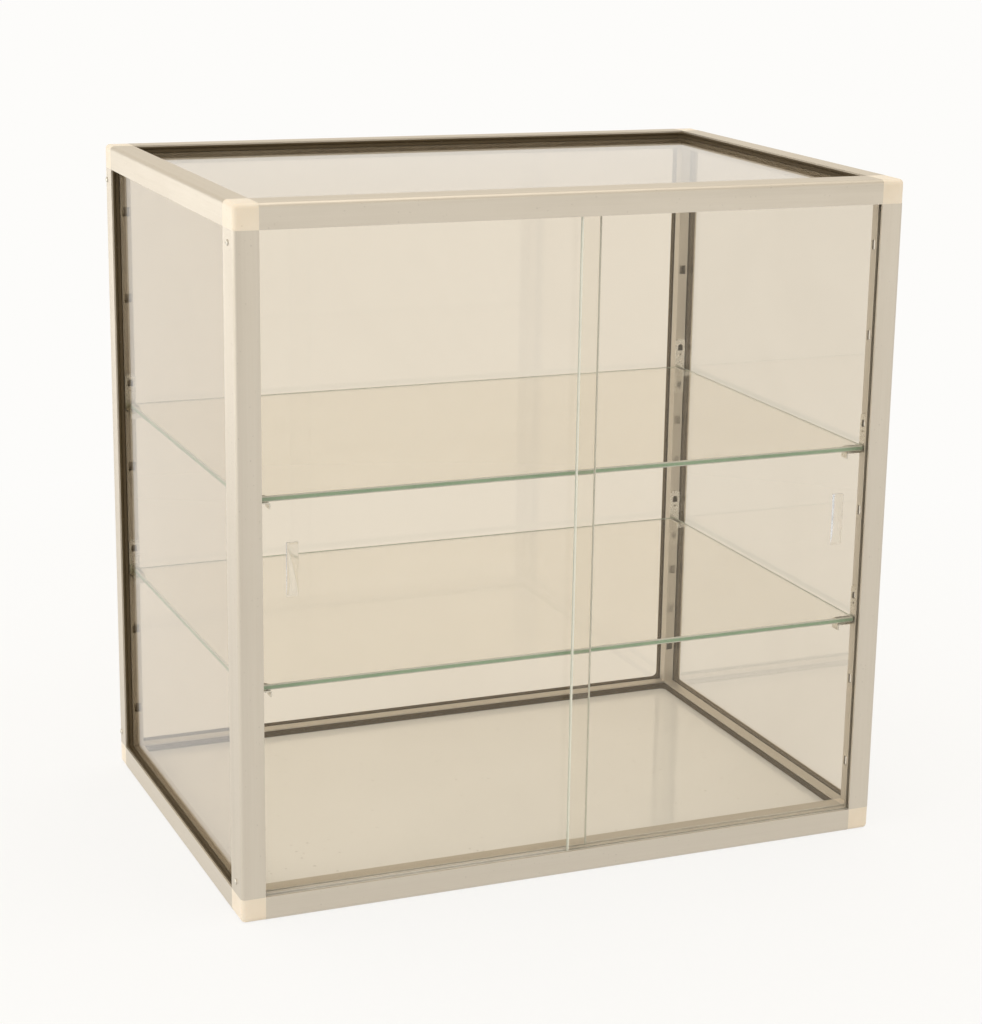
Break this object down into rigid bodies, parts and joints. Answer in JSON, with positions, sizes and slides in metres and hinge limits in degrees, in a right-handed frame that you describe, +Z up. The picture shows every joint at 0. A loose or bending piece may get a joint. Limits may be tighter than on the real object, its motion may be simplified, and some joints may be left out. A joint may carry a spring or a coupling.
{
  "type": "countertop display case",
  "caption": "Countertop display case: aluminium frame with corner blocks, gasketed glass walls, glass shelves on hook brackets and sliding glass doors.",
  "frame": {"origin": "on the counter, under the middle of the case", "axes": "+X to the right seen from the doors, +Y from the doors to the back, +Z up"},
  "size_m": [0.6026, 0.41, 0.6],
  "materials": {
    "frame_aluminium": "satin anodised",
    "cream_plastic": "moulded, cream",
    "gasket_rubber": "matt",
    "clear_glass": "clear float glass with green edges",
    "base_laminate": "glossy off-white",
    "runner_plastic": "matt grey",
    "clear_plastic": "clear acrylic",
    "plated_sheet": "zinc plated sheet",
    "screw_steel": "zinc plated"
  },
  "bodies": {
    "case": {"base_gasket": "gasket_rubber", "base_panel": "base_laminate", "bottom_front_left_corner": "cream_plastic", "bottom_front_rail": "frame_aluminium", "bottom_front_right_corner": "cream_plastic", "bottom_inner_runner": "runner_plastic", "bottom_left_rail": "frame_aluminium", "bottom_outer_runner": "runner_plastic", "bottom_rear_left_corner": "cream_plastic", "bottom_rear_rail": "frame_aluminium", "bottom_rear_right_corner": "cream_plastic", "bottom_right_rail": "frame_aluminium", "corner_screws": "screw_steel", "front_left_post": "frame_aluminium", "front_right_post": "frame_aluminium", "left_gasket": "gasket_rubber", "left_glass": "clear_glass", "lower_front_left_bracket": "plated_sheet", "lower_front_right_bracket": "plated_sheet", "lower_rear_left_bracket": "plated_sheet", "lower_rear_right_bracket": "plated_sheet", "lower_shelf_glass": "clear_glass", "rear_gasket": "gasket_rubber", "rear_glass": "clear_glass", "rear_left_post": "frame_aluminium", "rear_right_post": "frame_aluminium", "right_gasket": "gasket_rubber", "right_glass": "clear_glass", "top_front_left_corner": "cream_plastic", "top_front_rail": "frame_aluminium", "top_front_right_corner": "cream_plastic", "top_gasket": "gasket_rubber", "top_glass": "clear_glass", "top_inner_runner": "runner_plastic", "top_left_rail": "frame_aluminium", "top_outer_runner": "runner_plastic", "top_rear_left_corner": "cream_plastic", "top_rear_rail": "frame_aluminium", "top_rear_right_corner": "cream_plastic", "top_right_rail": "frame_aluminium", "upper_front_left_bracket": "plated_sheet", "upper_front_right_bracket": "plated_sheet", "upper_rear_left_bracket": "plated_sheet", "upper_rear_right_bracket": "plated_sheet", "upper_shelf_glass": "clear_glass"},
    "left_door": {"left_door_glass": "clear_glass", "left_door_pull": "clear_plastic"},
    "right_door": {"right_door_glass": "clear_glass", "right_door_pull": "clear_plastic"}
  },
  "joints": [
    {"name": "left_door_slide", "type": "slide", "parent": "case", "child": "left_door", "axis": [1, 0, 0], "range_m": [0, 0.266]},
    {"name": "right_door_slide", "type": "slide", "parent": "case", "child": "right_door", "axis": [-1, 0, 0], "range_m": [0, 0.284]}
  ]
}
